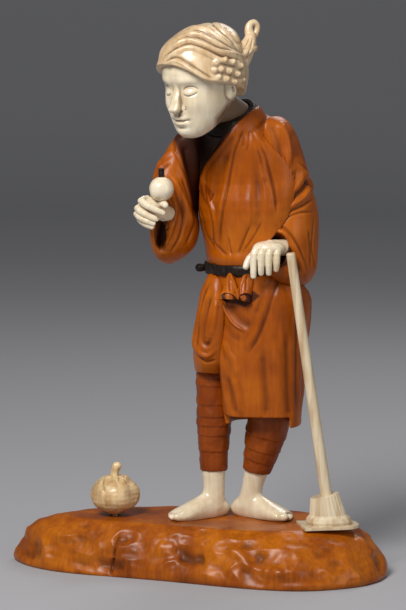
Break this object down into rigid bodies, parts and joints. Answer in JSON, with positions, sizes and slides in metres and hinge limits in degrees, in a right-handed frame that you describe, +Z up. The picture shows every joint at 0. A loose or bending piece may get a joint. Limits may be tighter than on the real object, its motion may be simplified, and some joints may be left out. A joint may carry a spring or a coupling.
{
  "type": "okimono carving",
  "caption": "Free-standing okimono carving in boxwood and ivory: a farmer in a tucked-up robe on a mound, with a turnip and a lift-off hoe.",
  "frame": {"origin": "middle of the ground's underside, on the plane the carving stands on", "axes": "+Z up, -Y towards the front view, +X to the right of the front view"},
  "size_m": [0.1907, 0.1094, 0.2741],
  "materials": {
    "boxwood": "polished",
    "boxwood_dark": "polished",
    "stained_wood": "satin",
    "ivory": "polished",
    "warm_ivory": "polished",
    "turnip_ivory": "satin"
  },
  "bodies": {
    "carving": {"ground": "boxwood", "robe_skirt": "boxwood", "breeches": "boxwood", "robe_torso": "boxwood", "left_sleeve": "boxwood", "right_sleeve": "boxwood", "hem_tucks": "boxwood", "inner_collar": "boxwood_dark", "right_leg": "boxwood_dark", "left_leg": "boxwood_dark", "waist_dowel": "boxwood", "right_shoulder_dowel": "boxwood", "left_shoulder_dowel": "boxwood", "sash": "stained_wood", "sash_end": "stained_wood", "collar": "stained_wood", "lapel": "stained_wood", "held_turnip_stalk": "stained_wood", "head": "ivory", "right_hand": "ivory", "left_hand": "ivory", "right_foot": "ivory", "left_foot": "ivory", "held_turnip": "ivory", "right_foot_peg": "ivory", "left_foot_peg": "ivory", "turnip_peg": "ivory", "headcloth": "warm_ivory", "headcloth_end": "warm_ivory", "ground_turnip": "turnip_ivory"},
    "hoe": {"hoe_handle": "ivory", "hoe_block": "ivory", "hoe_blade": "ivory", "hoe_peg": "ivory"}
  },
  "joints": [
    {"name": "hoe_lift", "type": "slide", "parent": "carving", "child": "hoe", "axis": [0, 0, 1], "range_m": [0, 0.02]}
  ]
}
